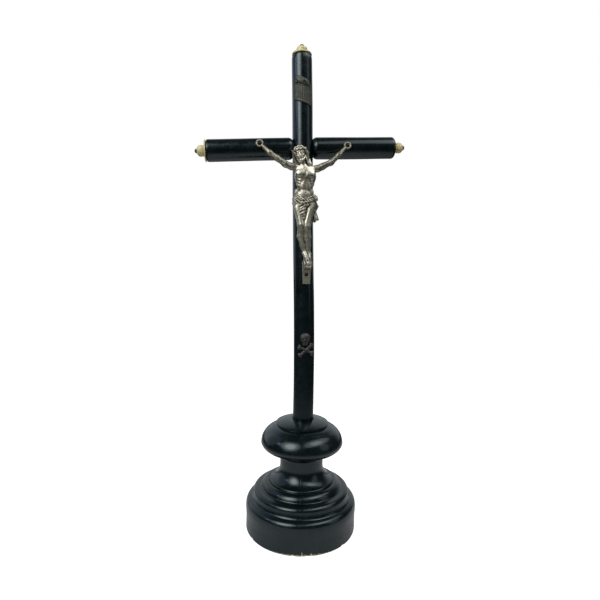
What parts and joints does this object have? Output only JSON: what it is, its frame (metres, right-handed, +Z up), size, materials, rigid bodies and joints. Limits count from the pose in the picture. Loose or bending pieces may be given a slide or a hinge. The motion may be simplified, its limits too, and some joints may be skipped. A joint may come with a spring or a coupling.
{
  "type": "altar cross",
  "caption": "Standing crucifix: an ebonised wooden cross with bone finials and a cast metal corpus, slip-fitted into a turned pedestal.",
  "frame": {"origin": "centre of the pedestal's round underside, on the table plane", "axes": "+Z up from the table, the cross leaning 1.2 degrees from it towards -X, X along the crossbar with +X to a viewer's right, -Y towards the viewer"},
  "size_m": [0.1697, 0.087, 0.3843],
  "materials": {
    "ebonised_wood": "black stain under polished shellac",
    "plain_wood": "raw dowel",
    "bone": "turned and polished bone, stood in for by ceramic",
    "dark_metal": "dark patinated cast metal",
    "silvered_metal": "silvered cast brass, worn and toned",
    "aged_steel": "darkened steel",
    "brass": "dull brass"
  },
  "bodies": {
    "pedestal": {"turned_base": "ebonised_wood"},
    "cross": {"upright_rod": "ebonised_wood", "arm_left": "ebonised_wood", "arm_right": "ebonised_wood", "arm_dowel": "plain_wood", "finial_top": "bone", "finial_left": "bone", "finial_right": "bone", "finial_pin_top": "aged_steel", "finial_pin_left": "aged_steel", "finial_pin_right": "aged_steel", "titulus_scroll": "dark_metal", "titulus_nail_left": "dark_metal", "titulus_nail_right": "dark_metal", "corpus_body": "silvered_metal", "corpus_arm_left": "silvered_metal", "corpus_arm_right": "silvered_metal", "hand_nail_left": "aged_steel", "hand_nail_right": "aged_steel", "foot_nail": "aged_steel", "skull_emblem": "dark_metal", "emblem_nail": "brass"}
  },
  "joints": [
    {"name": "cross_lift", "type": "slide", "parent": "pedestal", "child": "cross", "axis": [-0.0209, 0, 0.9998], "range_m": [0, 0.034]}
  ]
}
